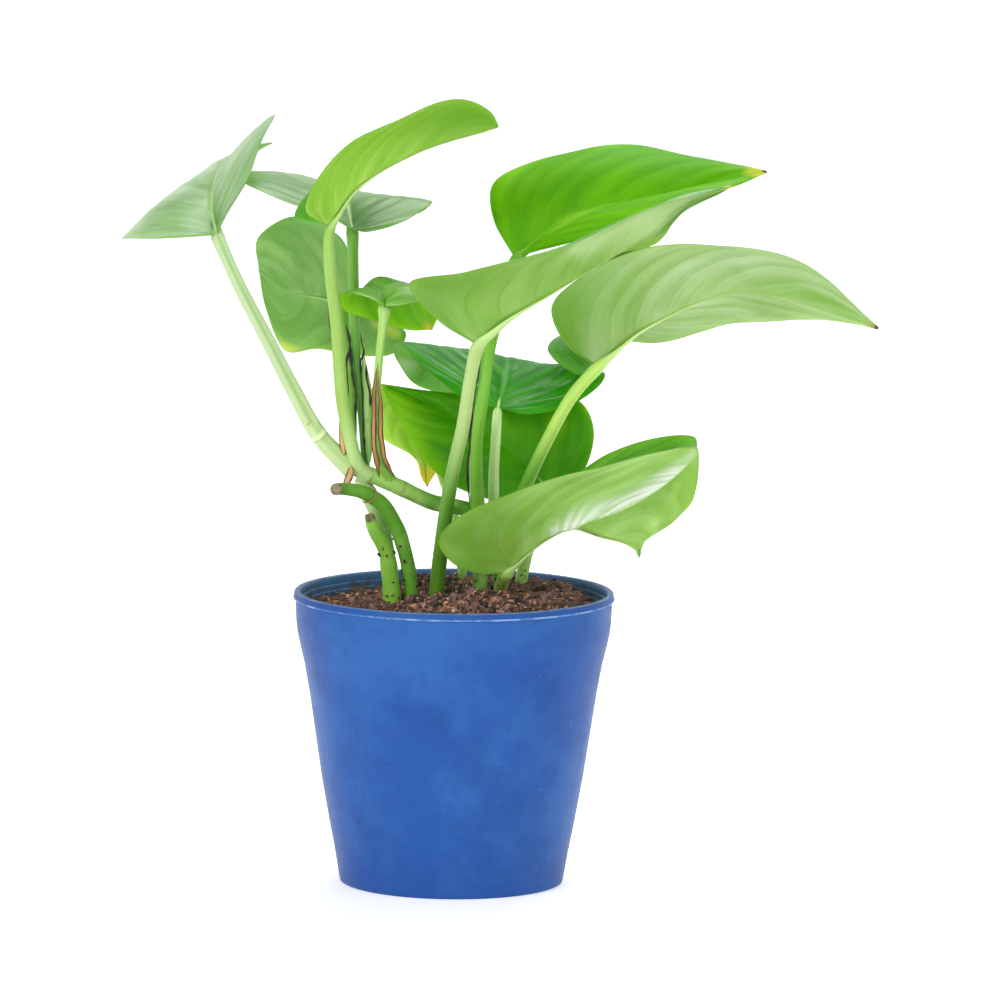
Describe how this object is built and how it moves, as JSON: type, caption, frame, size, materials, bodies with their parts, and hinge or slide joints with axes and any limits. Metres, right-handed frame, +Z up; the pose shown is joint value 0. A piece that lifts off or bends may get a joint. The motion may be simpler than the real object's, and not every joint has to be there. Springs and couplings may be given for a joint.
{
  "type": "potted golden pothos",
  "caption": "Golden pothos with variegated heart-shaped leaves on long petioles, rising from short cut vines in a small tapered nursery pot of coarse soil.",
  "frame": {"origin": "centre of the pot's flat underside", "axes": "+Z up along the pot, +Y away from the viewer of the picture, +X to that viewer's right, towards the tip of the longest leaf"},
  "size_m": [0.234, 0.123, 0.2469],
  "materials": {
    "pot_plastic": "satin",
    "soil": "matte",
    "leaf": "satin",
    "petiole": "satin",
    "vine": "matte",
    "dried_sheath": "matte"
  },
  "bodies": {
    "root": {"pot": "pot_plastic", "soil": "soil", "main_vine": "vine", "side_vine": "vine", "cut_stub": "vine", "leaf_back_left": "leaf", "leaf_centre": "leaf", "leaf_far_left": "leaf", "leaf_inner": "leaf", "leaf_left_back": "leaf", "leaf_low_right": "leaf", "leaf_middle": "leaf", "leaf_right": "leaf", "leaf_small": "leaf", "leaf_top": "leaf", "leaf_upper_right": "leaf", "leaf_yellow_tip": "leaf", "petiole_back_left": "petiole", "petiole_centre": "petiole", "petiole_far_left": "petiole", "petiole_inner": "petiole", "petiole_left_back": "petiole", "petiole_low_right": "petiole", "petiole_middle": "petiole", "petiole_right": "petiole", "petiole_small": "petiole", "petiole_top": "petiole", "petiole_upper_right": "petiole", "petiole_yellow_tip": "petiole", "sheath_small_left": "dried_sheath", "sheath_small_right": "dried_sheath"}
  },
  "joints": []
}
